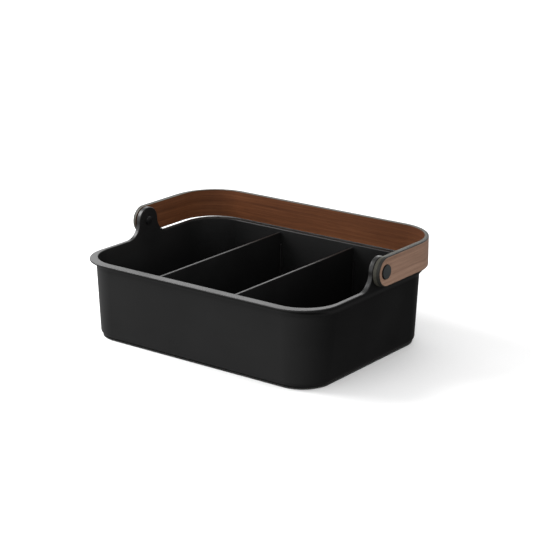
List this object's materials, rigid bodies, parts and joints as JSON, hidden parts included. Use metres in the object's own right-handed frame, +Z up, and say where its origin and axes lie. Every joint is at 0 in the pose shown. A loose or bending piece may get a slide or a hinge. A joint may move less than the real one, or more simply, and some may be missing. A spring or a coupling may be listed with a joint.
{
  "type": "tool caddy",
  "caption": "Low black moulded storage caddy with two thin dividers, a foot ring and a wide folding walnut strap handle on two pivots.",
  "frame": {"origin": "under the middle of the caddy, in the plane that the foot ring stands on", "axes": "+X along the width to the right, -Y to the front, +Z up"},
  "size_m": [0.3306, 0.2361, 0.1188],
  "materials": {
    "bin_plastic": "satin black moulded plastic with a fine even grain",
    "divider_plastic": "satin black moulded plastic",
    "foot_rubber": "matte black non-slip ring",
    "walnut_outer": "matte oiled walnut, grain along the strap",
    "walnut_inner": "matte oiled walnut, grain along the strap",
    "ply_dark": "dark olive grey stained core, satin",
    "ply_grey": "grey stained core, satin",
    "pin_steel": "blackened steel, fine brushed",
    "bearing_plastic": "black nylon, satin",
    "cap_plastic": "black satin plastic with a fine grain"
  },
  "bodies": {
    "bin": {"bin": "bin_plastic", "foot_ring": "foot_rubber", "pivot_pin_left": "pin_steel", "pivot_pin_right": "pin_steel", "pivot_bush_left": "bearing_plastic", "pivot_bush_right": "bearing_plastic", "pivot_washer_left": "bearing_plastic", "pivot_washer_right": "bearing_plastic"},
    "handle": {"handle_inner_veneer": "walnut_inner", "handle_inner_ply": "ply_dark", "handle_outer_ply": "ply_grey", "handle_outer_veneer": "walnut_outer", "pivot_cap_left": "cap_plastic", "pivot_cap_right": "cap_plastic"},
    "divider_left": {"divider_left": "divider_plastic"},
    "divider_right": {"divider_right": "divider_plastic"}
  },
  "joints": [
    {"name": "handle_fold", "type": "hinge", "parent": "bin", "child": "handle", "pos_m": [0, 0.0006, 0.1036], "axis": [1, 0, 0], "range_deg": [0, 180]},
    {"name": "divider_left_lift", "type": "slide", "parent": "bin", "child": "divider_left", "axis": [0, 0, 1], "range_m": [0, 0.1]},
    {"name": "divider_right_lift", "type": "slide", "parent": "bin", "child": "divider_right", "axis": [0, 0, 1], "range_m": [0, 0.1]}
  ]
}
